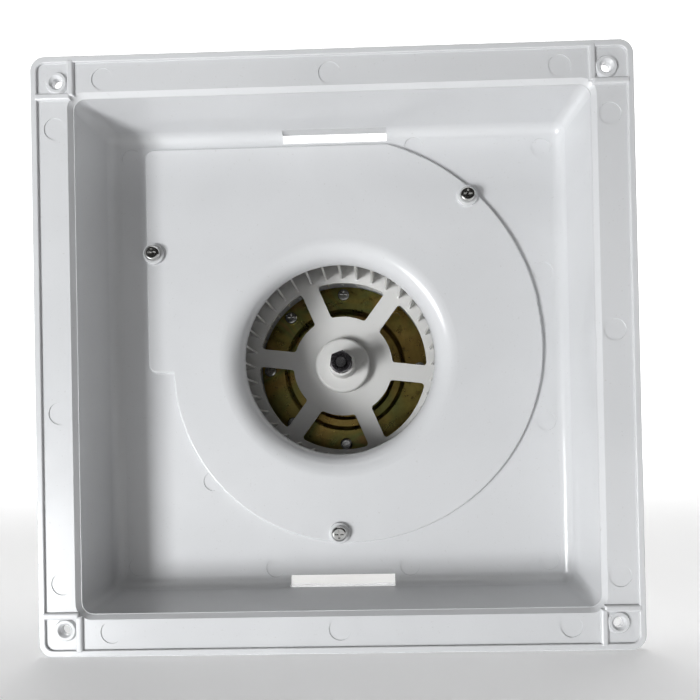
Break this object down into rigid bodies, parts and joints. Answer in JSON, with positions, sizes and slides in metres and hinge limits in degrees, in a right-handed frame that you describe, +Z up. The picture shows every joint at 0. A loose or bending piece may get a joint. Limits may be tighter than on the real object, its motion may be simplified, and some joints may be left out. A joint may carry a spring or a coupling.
{
  "type": "bathroom extractor fan",
  "caption": "Square flanged extractor fan body with scroll cover, drum impeller, rear motor, terminal box and round duct collar with backdraft flap.",
  "frame": {"origin": "centre of the four flange screw holes, on the flange's mounting face", "axes": "+Y from the open front towards the motor, +Z up, +X to the right seen from the front; the fan blows towards -X"},
  "size_m": [0.2565, 0.1621, 0.25],
  "materials": {
    "body_plastic": "glossy white moulded ABS",
    "impeller_plastic": "satin white polypropylene",
    "adaptor_plastic": "satin white plastic",
    "yellow_zinc": "yellow passivated zinc plate",
    "bright_screw": "bright zinc-plated steel",
    "dark_steel": "blackened steel",
    "shaft_steel": "ground steel",
    "brass": "turned brass",
    "bronze": "sintered bronze",
    "lamination": "stacked electrical steel",
    "rotor_aluminium": "cast aluminium",
    "copper": "enamelled copper wire",
    "insulation": "natural nylon",
    "box_plastic": "pale grey plastic",
    "rubber": "black rubber",
    "lead_sheath": "pale grey sheath",
    "capacitor_case": "black resin case"
  },
  "bodies": {
    "root": {"housing": "body_plastic", "scroll_cover": "body_plastic", "cover_screws": "bright_screw", "front_bearing": "bronze", "rear_bearing": "bronze", "stator_core": "lamination", "stator_insulators": "insulation", "stator_coils": "copper", "motor_front_plate": "yellow_zinc", "motor_can": "yellow_zinc", "motor_screws": "bright_screw", "motor_nuts": "bright_screw", "motor_lead": "lead_sheath", "duct_adaptor": "adaptor_plastic", "adaptor_screws": "bright_screw", "flap_pin": "shaft_steel", "terminal_box": "box_plastic", "box_lid": "box_plastic", "lid_screw": "bright_screw", "box_screws": "bright_screw", "terminal_block": "insulation", "terminal_screws": "brass", "mains_grommet": "rubber", "run_capacitor": "capacitor_case", "capacitor_screw": "bright_screw"},
    "rotor": {"impeller": "impeller_plastic", "impeller_bush": "brass", "lock_washer": "shaft_steel", "shaft_nut": "dark_steel", "motor_shaft": "shaft_steel", "rotor_core": "lamination", "rotor_end_rings": "rotor_aluminium", "front_thrust_collar": "insulation", "rear_thrust_collar": "insulation"},
    "flap": {"backdraft_flap": "adaptor_plastic"}
  },
  "joints": [
    {"name": "rotor_spin", "type": "hinge", "parent": "root", "child": "rotor", "pos_m": [0, 0.07, 0], "axis": [0, -1, 0], "continuous": true},
    {"name": "flap_swing", "type": "hinge", "parent": "root", "child": "flap", "pos_m": [-0.1225, 0.0636, 0.08225], "axis": [0, 1, 0], "range_deg": [0, 45]}
  ]
}
